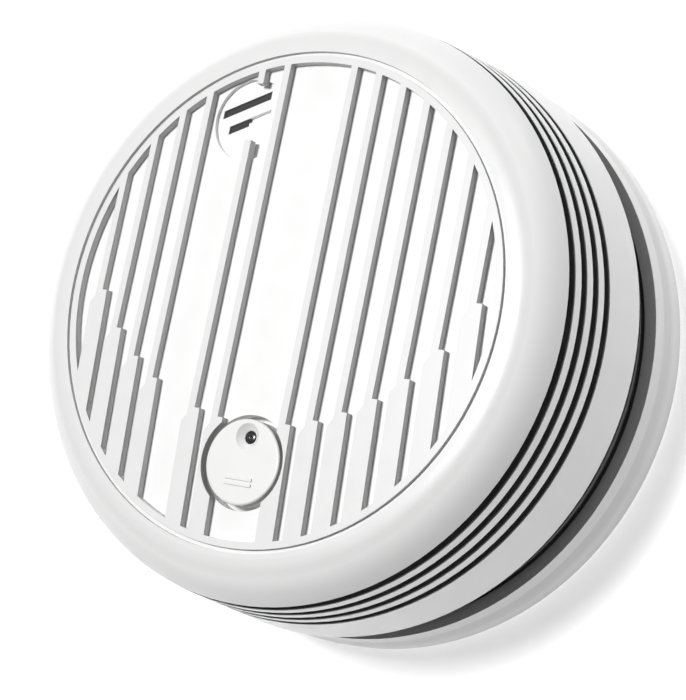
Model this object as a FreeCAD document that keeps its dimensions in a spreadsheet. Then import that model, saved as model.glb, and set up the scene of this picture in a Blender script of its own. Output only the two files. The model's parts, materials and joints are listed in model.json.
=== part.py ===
import FreeCAD, Part
import math
import os
import re
import Sketcher

# Ceiling heat detector. Millimetres, +Z out of the face, +Y towards the sounder grille,
# origin at the centre of the mounting base's back face.

V = FreeCAD.Vector
WORD = re.compile(r"[a-z]+(?:_[a-z]+)+")

os.makedirs("parts", exist_ok=True)
doc = FreeCAD.newDocument("heat_detector")
sheet = doc.addObject("Spreadsheet::Sheet", "sizes")

DRIVING_SIZES = [
    # how features meet
    ("cut_past", 1.0, "a cutter runs past a face by this"),
    ("join_lap", 0.1, "features of one moulding lap by this"),
    ("slip_fit", 0.05, "gap round a sliding or seated part"),
    # outline of the head and the base
    ("face_top", 46.4, "height of the face's margin above the back"),
    ("face_radius", 42.2, "flat face, to the fine groove round it"),
    ("rim_radius", 7.4, "roundness of the front rim"),
    ("rim_reach", 50.4, "radius of the cover where the rim ends"),
    ("rim_level", 39.5, "level where the rim ends"),
    ("skirt_radius", 53.15, "radius of the cover at its rear edge"),
    ("skirt_level", 19.0, "level of the cover's rear edge"),
    ("wall_thickness", 2.0, "moulded walls"),
    ("inner_rim", 4.4, "roundness inside the rim"),
    ("groove_width", 0.7, "fine groove round the face"),
    ("groove_depth", 0.6, "fine groove round the face"),
    # ribbed field
    ("field_radius", 40.3, "recessed field"),
    ("field_depth", 1.43, "recessed field"),
    ("face_thickness", 2.1, "face plate under the recess"),
    ("rib_first", 6.64, "centre line of the first rib on each side"),
    ("rib_pitch", 4.95, "rib to rib"),
    ("rib_width", 1.3, "upper part of a rib"),
    ("rib_wide", 3.3, "lower part of a rib"),
    ("rib_lean", 0.056, "sideways lean of the lower part, per millimetre"),
    ("rib_drop", 1.2, "from the square step to the slope opposite it"),
    ("rib_slope", 1.3, "height of that slope"),
    ("rib_reach", 41.3, "radius where the ribs end, inside the margin"),
    ("arc_radius", 41.7, "arc along which the ribs widen"),
    ("arc_centre", 20.5, "arc along which the ribs widen"),
    ("ribs_aside", 7, "ribs on each side"),
    ("rib_shift", 0.4, "middle of the ribs from the axis"),
    # vent slots
    ("vent_width", 1.8, "open slot"),
    ("vent_pitch", 3.54, "slot to slot"),
    ("vent_level", 40.28, "centre of the front slot"),
    ("vent_count", 4, "slots"),
    ("post_count", 6, "posts that join the rings"),
    ("post_width", 2.0, "posts that join the rings"),
    ("post_grip", 0.5, "depth of a post in the wall"),
    ("vent_foot", 0.5, "foot of the vent slots outside the screen"),
    ("post_foot", 0.3, "foot of the posts outside the screen"),
    # test button
    ("button_x", 0.8, "button and its guide"),
    ("button_y", -27.5, "button and its guide"),
    ("button_hole", 7.9, "radius of the hole in the face"),
    ("button_radius", 7.1, "radius of the button"),
    ("button_drop", -1.2, "button top under the field, negative above it"),
    ("button_thick", 3.8, "button disc"),
    ("button_travel", 1.2, "press"),
    ("button_round", 0.4, "roundness of the button's edge"),
    ("mark_first", 3.0, "first press mark below the button's centre"),
    ("mark_pitch", 0.9, "press mark to press mark"),
    ("mark_half", 2.6, "half length of a press mark"),
    ("mark_width", 0.5, "press marks"),
    ("mark_rise", 0.18, "press marks above the button"),
    ("guide_radius", 9.0, "bore of the button guide"),
    ("guide_level", 33.6, "lower end of the button guide"),
    ("guide_wall", 1.2, "wall of the button guide"),
    ("retainer_fit", 0.03, "gap round the button's retainer"),
    ("retainer_bore", 6.4, "bore of the button's retainer"),
    ("flange_radius", 8.6, "button flange in the guide"),
    ("flange_thick", 1.4, "button flange"),
    ("stem_radius", 1.6, "button stem"),
    ("lamp_offset", 4.2, "lamp hole from the button's centre"),
    ("lamp_hole", 1.1, "radius of the lamp hole"),
    ("lamp_dish", 2.2, "radius of the dish round the lamp hole"),
    ("spring_radius", 7.8, "mean radius of the button spring"),
    ("spring_wire", 0.25, "wire radius"),
    ("spring_turns", 3, "turns"),
    # sounder
    ("sounder_x", -12.6, "sounder and grille dish"),
    ("sounder_y", 30.4, "sounder and grille dish"),
    ("dish_radius", 7.2, "shallow grille dish"),
    ("dish_depth", 0.7, "shallow grille dish"),
    ("grille_rise", 0.42, "slope of the grille slots"),
    ("grille_half", 0.73, "half height of a grille slot"),
    ("grille_upper", 3.5, "upper slot above the dish's centre"),
    ("grille_left", 6.3, "upper slot's end from the dish's centre"),
    ("grille_right", 2.8, "slots' straight end from the dish's centre"),
    ("grille_step", 0.6, "end of the lower slot's open half"),
    ("grille_inset", 1.8, "lower slot's end inside the upper one's"),
    ("recess_lap", 0.2, "recess past the lower slot's end"),
    ("recess_reach", 0.6, "recess past the slots' straight end"),
    ("recess_share", 0.65, "height of the recess, as a part of a slot's"),
    ("recess_depth", 1.4, "recess under the field"),
    ("dish_side", 3.9, "straight side of the dish from its centre"),
    ("short_rib", 26.4, "top of the rib under the dish"),
    ("stub_rib", 36.4, "foot of the same rib above the dish"),
    ("cup_radius", 11.6, "resonator cup"),
    ("cup_level", 30.4, "open end of the resonator cup"),
    ("cup_wall", 2.0, "wall of the resonator cup"),
    ("cup_roof", 1.5, "roof of the resonator cup"),
    ("cup_shelf", 1.9, "disc's shelf above the open end"),
    ("seat_height", 2.4, "seat of the cup in the cover"),
    ("seat_wall", 1.3, "seat of the cup in the cover"),
    ("port_offset", 1.6, "port from the cup's axis, each way"),
    ("port_length", 11.0, "sound port"),
    ("port_width", 6.0, "sound port"),
    ("port_depth", 3.0, "sound port"),
    ("disc_radius", 10.4, "piezo disc"),
    ("disc_gap", 0.1, "gap round the piezo disc"),
    ("plate_level", 1.4, "brass plate above the cup's open end"),
    ("plate_thick", 0.3, "brass plate"),
    ("crystal_thick", 0.2, "piezo crystal"),
    ("crystal_radius", 7.28, "piezo crystal"),
    ("contact_inner", 3.0, "inner contact from the disc's axis"),
    ("contact_outer", 8.6, "outer contact from the disc's axis"),
    ("barrel_radius", 0.9, "contact barrels"),
    ("barrel_height", 2.0, "contact barrels"),
    ("tip_radius", 0.5, "sprung contact tips"),
    # rear housing
    ("shell_gap", 2.0, "shadow gap under the cover"),
    ("shell_radius", 52.6, "rear housing beside the gap"),
    ("shell_taper", 50.5, "rear housing beside the base"),
    ("shell_level", 10.9, "rear face of the head"),
    ("spigot_radius", 50.6, "rim inside the cover"),
    ("spigot_height", 5.0, "rim inside the cover"),
    ("spigot_wall", 1.8, "rim inside the cover"),
    ("spigot_root", 1.0, "depth of the rim's inside under its foot"),
    ("boss_ring", 39.4, "cover bosses from the axis"),
    ("boss_radius", 3.2, "cover bosses"),
    ("pillar_x", 15.0, "board pillars"),
    ("pillar_y", 26.0, "board pillars"),
    ("pillar_radius", 3.0, "board pillars"),
    ("pilot_radius", 1.15, "screw holes in plastic"),
    ("boss_pilot", 12.8, "depth of the screw holes in the bosses"),
    ("pillar_pilot", 9.0, "depth of the screw holes in the pillars"),
    ("screw_play", 0.5, "clearance hole's radius over the pilot's"),
    # bayonet
    ("collar_radius", 44.6, "collar under the head"),
    ("collar_thick", 1.6, "collar under the head"),
    ("collar_level", 4.8, "lower end of the collar"),
    ("lug_reach", 2.4, "lugs outside the collar"),
    ("lug_root", 0.5, "lugs into the collar"),
    ("lug_thick", 1.8, "lugs"),
    ("lug_angle", 14.0, "degrees along the collar"),
    ("keeper_angle", 24.0, "degrees along the base ring"),
    ("keeper_gap", 0.5, "keeper above a lug, and round the collar"),
    ("twist_angle", 20.0, "turn from locked to free"),
    ("stop_set", 2.3, "degrees from a lug to the middle of a stop"),
    ("stop_half", 1.8, "half a stop, in degrees"),
    ("ring_thick", 1.6, "wall of the bayonet ring"),
    ("ring_bite", 0.6, "keepers and stops into the ring"),
    # mounting base
    ("base_height", 10.4, "front edge of the base"),
    ("base_lip", 52.9, "radius at the front edge"),
    ("base_waist", 53.3, "radius behind the front edge"),
    ("base_radius", 54.0, "largest radius"),
    ("base_edge", 0.6, "slope at the back edge, across"),
    ("bulge_low", 1.32, "slope at the back edge, up"),
    ("waist_level", 7.488, "level of the waist"),
    ("shoulder_round", 4.0, "roundness of the shoulder"),
    ("web_thick", 2.2, "floor of the base"),
    ("base_opening", 31.5, "radius of the central opening"),
    ("ring_radius", 47.5, "bore of the bayonet ring"),
    ("ring_height", 9.2, "top of the bayonet ring"),
    ("screw_place", 38.0, "mounting screws from the axis"),
    ("screw_hole", 2.25, "half width of a screw slot"),
    ("slot_length", 8.0, "screw slots, end to end"),
    # battery and its door
    ("cell_length", 46.0, "battery body"),
    ("cell_width", 26.5, "battery"),
    ("cell_height", 17.5, "battery"),
    ("cell_x", -1.0, "centre of the battery body"),
    ("cell_level", 5.6, "underside of the battery"),
    ("cell_round", 2.0, "long edges of the battery"),
    ("bay_left", -25.0, "inside of the battery bay"),
    ("bay_right", 25.4, "inside of the battery bay"),
    ("bay_width", 27.6, "inside of the battery bay"),
    ("bay_wall", 1.5, "walls of the battery bay"),
    ("bay_roof", 23.3, "inside of the bay's roof"),
    ("slot_depth", 1.2, "slots for the contact strips"),
    ("slot_half", 3.3, "half width of such a slot"),
    ("door_level", 2.9, "outside of the door"),
    ("door_thick", 1.6, "door"),
    ("door_gap", 0.3, "round the door"),
    ("notch_depth", 2.4, "thumb notch"),
    ("notch_half", 6.0, "half width of the thumb notch"),
    ("notch_rise", 0.8, "thumb notch above the door's outside"),
    ("tongue_thick", 0.8, "snap tongue"),
    ("tongue_half", 2.5, "half width of the snap tongue"),
    ("tongue_height", 3.2, "snap tongue"),
    ("foam_length", 27.6, "foam on the door"),
    ("foam_width", 13.25, "foam on the door"),
    ("foam_thick", 0.8, "foam on the door"),
    ("hinge_pin", 0.6, "pin radius"),
    ("hinge_bore", 0.65, "bore radius"),
    ("pin_reach", 1.2, "pins into each side wall"),
    # board
    ("board_level", 25.6, "underside of the board"),
    ("board_thick", 1.6, "board"),
    ("board_radius", 35.0, "board"),
    # screen
    ("screen_radius", 46.6, "outside of the insect screen"),
    ("screen_thick", 0.4, "insect screen"),
    ("screen_low", 27.2, "lower edge of the screen"),
    ("screen_high", 41.6, "upper edge of the screen"),
    # small parts
    ("switch_height", 3.5, "tact switch case"),
    ("plunger_rise", 2.4, "plunger above its case"),
    ("switch_side", 6.4, "tact switch case"),
    ("switch_floor", 1.0, "floor of the tact switch"),
    ("plunger_gap", 0.1, "under the pressed plunger"),
    ("switch_leg_x", 2.56, "switch legs from its axis"),
    ("switch_leg_y", 2.08, "switch legs from its axis"),
    ("switch_leg_length", 0.6, "section of a switch leg"),
    ("switch_leg_width", 0.4, "section of a switch leg"),
    ("switch_way", 0.45, "radius of a switch leg's hole"),
    ("leg_below", 1.0, "legs under the board"),
    ("leg_into", 0.2, "legs into their part"),
    ("lamp_level", 32.2, "underside of the lamp"),
    ("led_radius", 1.5, "lamp"),
    ("led_height", 3.6, "lamp below its dome"),
    ("led_foot", 1.6, "radius of the lamp's foot"),
    ("led_foot_height", 0.6, "the lamp's foot"),
    ("led_leg_place", 0.9, "lamp legs from its axis"),
    ("led_leg", 0.45, "section of a lamp leg"),
    ("led_way", 0.4, "radius of a lamp leg's hole"),
    ("stud_pitch", 12.7, "between the battery's studs"),
    ("stud_length", 2.4, "battery studs"),
    ("stud_small", 2.9, "radius of the plain stud"),
    ("stud_large", 3.6, "radius of the socket stud"),
    ("strip_thick", 0.5, "battery contact strips"),
    ("strip_width", 6.0, "battery contact strips"),
    ("strip_foot", 2.0, "strips above the battery's underside"),
    ("strip_rise", 0.6, "strips above the board"),
    ("strip_gap", 0.1, "round a strip in the board"),
    ("sensor_x", 32.0, "thermistor"),
    ("sensor_y", -4.0, "thermistor"),
    ("sensor_level", 36.0, "thermistor bead"),
    ("bead_radius", 1.6, "thermistor bead"),
    ("sensor_leg", 0.25, "radius of a thermistor leg"),
    ("sensor_leg_place", 1.3, "thermistor legs from its axis"),
    ("sensor_leg_below", 0.8, "thermistor legs under the board"),
    ("sensor_way", 0.35, "radius of a thermistor leg's hole"),
    ("chip_x", 12.0, "control chip"),
    ("chip_y", 2.0, "control chip"),
    ("chip_lift", 0.4, "chip case above the board"),
    ("chip_length", 10.0, "chip case"),
    ("chip_width", 6.2, "chip case"),
    ("chip_height", 3.2, "chip case"),
    ("chip_pitch", 2.54, "chip leg to chip leg"),
    ("chip_leg_place", 3.4, "chip legs from the middle line"),
    ("chip_leg_width", 0.5, "chip leg"),
    ("chip_leg_length", 0.9, "chip leg"),
    ("chip_leg_height", 2.0, "chip leg"),
    ("coil_x", -20.0, "step-up coil"),
    ("coil_y", 4.0, "step-up coil"),
    ("coil_flange", 4.4, "radius of the coil's ends"),
    ("coil_flange_thick", 1.2, "the coil's ends"),
    ("coil_core", 3.4, "radius of the winding"),
    ("coil_height", 5.0, "the winding"),
    ("can_lip", 1.3, "level of the groove round a capacitor"),
    ("can_lip_round", 0.3, "groove round a capacitor"),
    ("resistor_count", 5, "resistors in the row"),
    ("resistor_x", -16.0, "first resistor"),
    ("resistor_y", -16.0, "sleeves' near ends"),
    ("resistor_pitch", 4.0, "resistor to resistor"),
    ("resistor_lift", 1.1, "axis above the board"),
    ("sleeve_radius", 1.0, "resistor sleeve"),
    ("sleeve_length", 5.0, "resistor sleeve"),
    ("lead_y", -17.8, "leads' near ends"),
    ("lead_radius", 0.3, "resistor lead"),
    ("lead_length", 8.6, "resistor lead"),
    ("screw_head", 1.7, "screw head height"),
    ("screw_shank", 1.15, "screw shank radius"),
    ("screw_head_radius", 2.635, "screw head"),
    ("board_screw_length", 7.0, "shank of a board screw"),
    ("cover_screw_length", 9.0, "shank of a cover screw"),
    ("cross_length", 2.6, "cross recess, end to end"),
    ("cross_width", 0.6, "cross recess"),
    ("cross_depth", 0.7, "cross recess"),
    ("cross_past", 0.3, "its cutter past the head"),
    ("label_length", 30.0, "blank label"),
    ("label_width", 12.0, "blank label"),
    ("label_thick", 0.15, "blank label"),
    ("label_shift", 1.0, "label towards the bay"),
]

for row, (alias, size, note) in enumerate(DRIVING_SIZES, start=1):
    sheet.set("A%d" % row, note)
    sheet.set("B%d" % row, str(size))
    sheet.setAlias("B%d" % row, alias)
doc.recompute()


def full(expression):
    """The expression with each size read from the sheet."""
    return WORD.sub(r"sizes.\g<0>", expression)


def number(expression):
    """What an expression in sheet sizes comes to."""
    return float(sheet.evalExpression(expression))


def bind(thing, **expressions):
    """Bind properties of an object to expressions; a double underscore stands for a dot."""
    for name, expression in expressions.items():
        thing.setExpression(name.replace("__", "."), full(expression))
    return thing


# ---- PartDesign helpers -------------------------------------------------------------------


def new_body(label):
    body = doc.addObject("PartDesign::Body", label)
    body.Label = label
    body.AllowCompound = True
    return body


def origin_item(body, role):
    return next(item for item in body.Origin.OriginFeatures if item.Role == role)


def new_sketch(body, name, role="XY_Plane", level="0"):
    sketch = body.newObject("Sketcher::SketchObject", name)
    sketch.AttachmentSupport = (origin_item(body, role), [""])
    sketch.MapMode = "FlatFace"
    bind(sketch, AttachmentOffset__Base__z=level)
    return sketch


def hold(sketch, geometry, point, x, y):
    """Hold a sketch point at two distances from the origin, each bound to the sheet."""
    for kind, expression in (("DistanceX", x), ("DistanceY", y)):
        index = sketch.addConstraint(
            Sketcher.Constraint(kind, -1, 1, geometry, point, number(expression)))
        sketch.setExpression("Constraints[%d]" % index, full(expression))


def outline(sketch, corners):
    """Closed outline of straight lines through corners given as pairs of expressions."""
    places = [V(number(x), number(y), 0) for x, y in corners]
    count = len(places)
    first = sketch.GeometryCount
    for index in range(count):
        sketch.addGeometry(Part.LineSegment(places[index], places[(index + 1) % count]), False)
    for index in range(count):
        following = first + (index + 1) % count
        sketch.addConstraint(Sketcher.Constraint("Coincident", first + index, 2, following, 1))
    for index, (x, y) in enumerate(corners):
        hold(sketch, first + index, 1, x, y)


def rectangle(sketch, left, low, right, high):
    outline(sketch, [(left, low), (right, low), (right, high), (left, high)])


def circle(sketch, radius, x="0", y="0"):
    middle = V(number(x), number(y), 0)
    index = sketch.addGeometry(Part.Circle(middle, V(0, 0, 1), number(radius)), False)
    hold(sketch, index, 3, x, y)
    limit = sketch.addConstraint(Sketcher.Constraint("Radius", index, number(radius)))
    sketch.setExpression("Constraints[%d]" % limit, full(radius))


def feature(body, kind, name, sketch, **expressions):
    made = body.newObject("PartDesign::" + kind, name)
    made.Profile = sketch
    bind(made, **expressions)
    sketch.Visibility = False
    return made


def pad(body, name, sketch, height, down=False):
    made = feature(body, "Pad", name, sketch, Length=height)
    made.Reversed = down
    return made


def pocket(body, name, sketch, depth, up=False):
    made = feature(body, "Pocket", name, sketch, Length=depth)
    made.Reversed = up
    return made


def turned(body, name, corners, kind="Revolution"):
    """Solid or groove turned about Z from an outline of (radius, level) corners."""
    sketch = new_sketch(body, name + "_outline", "XZ_Plane")
    outline(sketch, corners)
    made = feature(body, kind, name, sketch)
    made.ReferenceAxis = (sketch, ["V_Axis"])
    made.Angle = 360
    return made


def polar(body, name, originals, count):
    made = body.newObject("PartDesign::PolarPattern", name)
    made.Originals = originals
    made.Axis = (origin_item(body, "Z_Axis"), [""])
    made.Angle = 360
    bind(made, Occurrences=count)
    body.Tip = made
    return made


def linear(body, name, originals, role, length, count, back=False):
    made = body.newObject("PartDesign::LinearPattern", name)
    made.Originals = originals
    made.Direction = (origin_item(body, role), [""])
    made.Reversed = back
    bind(made, Length=length, Occurrences=count)
    body.Tip = made
    return made


def disc_pad(body, name, radius, low, height, x="0", y="0"):
    sketch = new_sketch(body, name + "_outline", level=low)
    circle(sketch, radius, x, y)
    return pad(body, name, sketch, height)


def disc_pocket(body, name, radius, top, depth, x="0", y="0"):
    sketch = new_sketch(body, name + "_outline", level=top)
    circle(sketch, radius, x, y)
    return pocket(body, name, sketch, depth)


def box_pad(body, name, left, low, right, high, level, height):
    sketch = new_sketch(body, name + "_outline", level=level)
    rectangle(sketch, left, low, right, high)
    return pad(body, name, sketch, height)


def box_pocket(body, name, left, low, right, high, top, depth):
    sketch = new_sketch(body, name + "_outline", level=top)
    rectangle(sketch, left, low, right, high)
    return pocket(body, name, sketch, depth)


def edges_where(shape, test):
    return ["Edge%d" % (index + 1) for index, edge in enumerate(shape.Edges) if test(edge)]


def is_ring(edge, radius, level):
    """True for a circular edge about Z with this radius at this level."""
    if not isinstance(edge.Curve, Part.Circle):
        return False
    centre = edge.Curve.Center
    near = abs(centre.z - level) < 0.02 and abs(edge.Curve.Radius - radius) < 0.02
    return near and math.hypot(centre.x, centre.y) < 0.01


def soften(body, name, base, edges, size, kind="Fillet"):
    """Fillet or chamfer on named edges of the feature so far."""
    made = body.newObject("PartDesign::" + kind, name)
    made.Base = (base, edges)
    bind(made, **{"Radius" if kind == "Fillet" else "Size": size})
    body.Tip = made
    doc.recompute()
    return made


def round_ring(body, name, base, radius, level, size, kind="Fillet"):
    doc.recompute()
    spot = (number(radius), number(level))
    edges = edges_where(base.Shape, lambda edge: is_ring(edge, spot[0], spot[1]))
    return soften(body, name, base, edges, size, kind)


# ---- Part helpers -------------------------------------------------------------------------


def solid(kind, name, x="0", y="0", z="0", **sizes):
    """A Part primitive with its sizes and place bound to the sheet."""
    made = doc.addObject("Part::" + kind, name)
    bind(made, Placement__Base__x=x, Placement__Base__y=y, Placement__Base__z=z, **sizes)
    return made


def block(name, x, y, z, length, width, height):
    """A box centred on x and y that stands on z."""
    return solid("Box", name, "%s - (%s) / 2" % (x, length), "%s - (%s) / 2" % (y, width), z,
                 Length=length, Width=width, Height=height)


def drum(name, x, y, z, radius, height):
    return solid("Cylinder", name, x, y, z, Radius=radius, Height=height)


def gather(kind, label, pieces):
    """One labelled sub-part from several solids: a MultiFuse or a Compound."""
    made = doc.addObject("Part::" + kind, label)
    made.Label = label
    if kind == "Compound":
        made.Links = pieces
    else:
        made.Shapes = pieces
    return made


def cut(label, base, tool):
    made = doc.addObject("Part::Cut", label)
    made.Label = label
    made.Base = base
    made.Tool = tool
    return made


# ---- shared expressions -------------------------------------------------------------------

FLARE = "(skirt_radius - rim_reach) / (rim_level - skirt_level)"
RIM_CORNER = "(rim_reach - %s * (face_top - rim_level))" % FLARE
FIELD_FLOOR = "(face_top - field_depth)"
FACE_UNDER = "(face_top - field_depth - face_thickness)"
SHELL_FLOOR = "(shell_level + wall_thickness)"
BOARD_TOP = "(board_level + board_thick)"
BUTTON_TOP = "(face_top - field_depth - button_drop)"
FLANGE_LOW = "(face_top - field_depth - button_drop - button_thick - flange_thick)"
PLUNGER_TOP = "(board_level + board_thick + switch_height + plunger_rise)"
HINGE_X = "(bay_left + door_gap + door_thick / 2)"
HINGE_Z = "(door_level + door_thick / 2)"
STUD_FACE = "(cell_x + cell_length / 2 + stud_length)"
COIL_STEPS = 16
WIRE_SIDES = 8


def cover_radius(level, inset="0"):
    """Radius of the cover's flared side at a level, less an inset."""
    return "skirt_radius - %s * (%s - skirt_level) - (%s)" % (FLARE, level, inset)


# ---- front cover --------------------------------------------------------------------------


def rib(body, name, side, index, top=None, foot=None):
    """Raised rib: narrow above the arc and wide below it, where both edges lean."""
    middle = "(rib_shift + %d * (rib_first + %d * rib_pitch))" % (side, index)
    left = "(%s - rib_width / 2)" % middle
    right = "(%s + rib_width / 2)" % middle
    step = "(arc_centre - sqrt(arc_radius ^ 2 - %s ^ 2))" % right
    lean = "rib_lean * (%s + sqrt(rib_reach ^ 2 - %s ^ 2))" % (step, middle)

    def end(place):
        return "sqrt(rib_reach ^ 2 - (%s) ^ 2)" % place

    sketch = new_sketch(body, name + "_outline", level=FIELD_FLOOR)
    if foot:
        outline(sketch, [(left, foot), (right, foot), (right, end(right)), (left, end(left))])
    else:
        far_left = "(%s - rib_wide / 2)" % middle
        far_right = "(%s + rib_wide / 2)" % middle
        low_right = "-%s" % end("%s + %s" % (far_right, lean))
        low_left = "-%s" % end("%s + %s" % (far_left, lean))
        slope_foot = "(%s - rib_drop - rib_slope)" % step
        outline(sketch, [
            (left, top or end(left)),
            (left, "%s - rib_drop" % step),
            ("%s + rib_lean * (rib_drop + rib_slope)" % far_left, slope_foot),
            ("%s + rib_lean * (%s - (%s))" % (far_left, step, low_left), low_left),
            ("%s + rib_lean * (%s - (%s))" % (far_right, step, low_right), low_right),
            (far_right, step),
            (right, step),
            (right, top or end(right)),
        ])
    pad(body, name, sketch, "field_depth")


def grille_slot(body, name, left, right, middle, half, depth):
    """Slanted slot with upright ends, placed from the dish's centre."""
    sketch = new_sketch(body, name + "_outline", level=FIELD_FLOOR)

    def corner(place, offset):
        level = "sounder_y + %s + grille_rise * (%s) + (%s)" % (middle, place, offset)
        return ("sounder_x + (%s)" % place, level)

    low = "-(%s)" % half
    outline(sketch, [corner(left, low), corner(right, low), corner(right, half),
                     corner(left, half)])
    pocket(body, name, sketch, depth)


def front_cover():
    body = new_body("front_cover")
    inner_corner = cover_radius(FACE_UNDER, "wall_thickness")
    shell = turned(body, "cover_shell", [
        ("0", "face_top"),
        (RIM_CORNER, "face_top"),
        ("skirt_radius", "skirt_level"),
        ("skirt_radius - wall_thickness", "skirt_level"),
        (inner_corner, FACE_UNDER),
        ("0", FACE_UNDER),
    ])
    rim = round_ring(body, "rim", shell, RIM_CORNER, "face_top", "rim_radius")
    round_ring(body, "inner_rim", rim, inner_corner, FACE_UNDER, "inner_rim")
    disc_pocket(body, "field", "field_radius", "face_top", "field_depth")
    disc_pocket(body, "dish", "dish_radius", FIELD_FLOOR, "dish_depth",
                "sounder_x", "sounder_y")
    box_pad(body, "dish_straight_side", "sounder_x + dish_side", "sounder_y - dish_radius",
            "sounder_x + dish_radius + cut_past", "sounder_y + dish_radius",
            "%s - dish_depth" % FIELD_FLOOR, "dish_depth")
    for side in (-1, 1):
        for index in range(int(number("ribs_aside"))):
            name = "rib_%s_%d" % ("left" if side < 0 else "right", index)
            if (side, index) == (-1, 1):
                rib(body, name, side, index, top="short_rib")
                rib(body, name + "_stub", side, index, foot="stub_rib")
            elif (side, index) != (-1, 2):
                rib(body, name, side, index)
    turned(body, "face_groove", [
        ("face_radius - groove_width", "face_top - groove_depth"),
        ("face_radius", "face_top - groove_depth"),
        ("face_radius", "face_top + cut_past"),
        ("face_radius - groove_width", "face_top + cut_past"),
    ], "Groove")
    grille_slot(body, "upper_grille_slot", "-grille_left", "grille_right", "grille_upper",
                "grille_half", "face_thickness + cut_past")
    grille_slot(body, "lower_grille_slot", "-grille_left + grille_inset", "-grille_step", "0",
                "grille_half", "face_thickness + cut_past")
    grille_slot(body, "lower_grille_recess", "-grille_step - recess_lap",
                "grille_right + recess_reach", "grille_half * (1 - recess_share)",
                "grille_half * recess_share", "recess_depth")
    vent = turned(body, "vent_slot", [
        ("screen_radius + vent_foot", "vent_level - vent_width / 2"),
        ("base_radius + cut_past", "vent_level - vent_width / 2"),
        ("base_radius + cut_past", "vent_level + vent_width / 2"),
        ("screen_radius + vent_foot", "vent_level + vent_width / 2"),
    ], "Groove")
    vents = linear(body, "vent_slots", [vent], "Z_Axis",
                   "vent_pitch * (vent_count - 1)", "vent_count", back=True)
    doc.recompute()
    post_low = "(vent_level - vent_pitch * vent_count + vent_width / 2)"
    sketch = new_sketch(body, "post_outline", "XZ_Plane")
    reach = "wall_thickness - post_grip"
    outline(sketch, [
        ("screen_radius + post_foot", post_low),
        (cover_radius(post_low, reach), post_low),
        (cover_radius(FACE_UNDER, reach), FACE_UNDER),
        ("screen_radius + post_foot", FACE_UNDER),
    ])
    post = pad(body, "post", sketch, "post_width")
    post.SideType = "Symmetric"
    polar(body, "posts", [post], "post_count")
    boss = disc_pad(body, "boss", "boss_radius", SHELL_FLOOR,
                    "%s - %s + join_lap" % (FACE_UNDER, SHELL_FLOOR), "0", "-boss_ring")
    pilot = new_sketch(body, "boss_pilot_outline", level=SHELL_FLOOR)
    circle(pilot, "pilot_radius", "0", "-boss_ring")
    boss_pilot = pocket(body, "boss_pilot", pilot, "boss_pilot", up=True)
    polar(body, "bosses", [boss, boss_pilot], "3")
    guide_height = "%s - guide_level + join_lap" % FACE_UNDER
    disc_pad(body, "guide", "guide_radius + guide_wall", "guide_level", guide_height,
             "button_x", "button_y")
    guide_bore = new_sketch(body, "guide_bore_outline", level="guide_level")
    circle(guide_bore, "guide_radius", "button_x", "button_y")
    pocket(body, "guide_bore", guide_bore, "%s - guide_level" % FACE_UNDER, up=True)
    disc_pocket(body, "button_hole", "button_hole", "face_top + cut_past",
                "field_depth + face_thickness + 2 * cut_past", "button_x", "button_y")
    disc_pad(body, "cup_seat", "cup_radius + seat_wall", "%s - seat_height" % FACE_UNDER,
             "seat_height + join_lap", "sounder_x", "sounder_y")
    seat_bore = new_sketch(body, "cup_seat_bore_outline",
                           level="%s - seat_height" % FACE_UNDER)
    circle(seat_bore, "cup_radius + slip_fit", "sounder_x", "sounder_y")
    pocket(body, "cup_seat_bore", seat_bore, "seat_height", up=True)
    return body


# ---- test button --------------------------------------------------------------------------


def test_button():
    body = new_body("test_button")
    disc = disc_pad(body, "button_disc", "button_radius",
                    "%s - button_thick" % BUTTON_TOP, "button_thick", "button_x", "button_y")
    doc.recompute()
    edge = edges_where(disc.Shape, lambda e: isinstance(e.Curve, Part.Circle)
                       and abs(e.Curve.Center.z - number(BUTTON_TOP)) < 0.01)
    soften(body, "button_edge", disc, edge, "button_round")
    disc_pad(body, "button_flange", "flange_radius", FLANGE_LOW, "flange_thick",
             "button_x", "button_y")
    stem = "%s - %s" % (FLANGE_LOW, PLUNGER_TOP)
    disc_pad(body, "button_stem", "stem_radius", PLUNGER_TOP, stem, "button_x", "button_y")
    lamp_y = "button_y + lamp_offset"
    disc_pocket(body, "lamp_hole", "lamp_hole", BUTTON_TOP,
                "button_thick + flange_thick + cut_past", "button_x", lamp_y)
    doc.recompute()
    rim = edges_where(body.Shape, lambda e: isinstance(e.Curve, Part.Circle)
                      and abs(e.Curve.Center.z - number(BUTTON_TOP)) < 0.01
                      and abs(e.Curve.Radius - number("lamp_hole")) < 0.01)
    soften(body, "lamp_dish", body.Tip, rim, "lamp_dish - lamp_hole", "Chamfer")
    for index in range(2):
        level = "(button_y - mark_first - %d * mark_pitch)" % index
        box_pad(body, "press_mark_%d" % index, "button_x - mark_half", level,
                "button_x + mark_half", "%s + mark_width" % level,
                "%s - join_lap" % BUTTON_TOP, "mark_rise + join_lap")


def button_retainer():
    body = new_body("button_retainer")
    disc_pad(body, "retainer_ring", "guide_radius - retainer_fit", "guide_level", "flange_thick",
             "button_x", "button_y")
    disc_pocket(body, "retainer_bore", "retainer_bore", "guide_level + flange_thick + cut_past",
                "flange_thick + 2 * cut_past", "button_x", "button_y")


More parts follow.
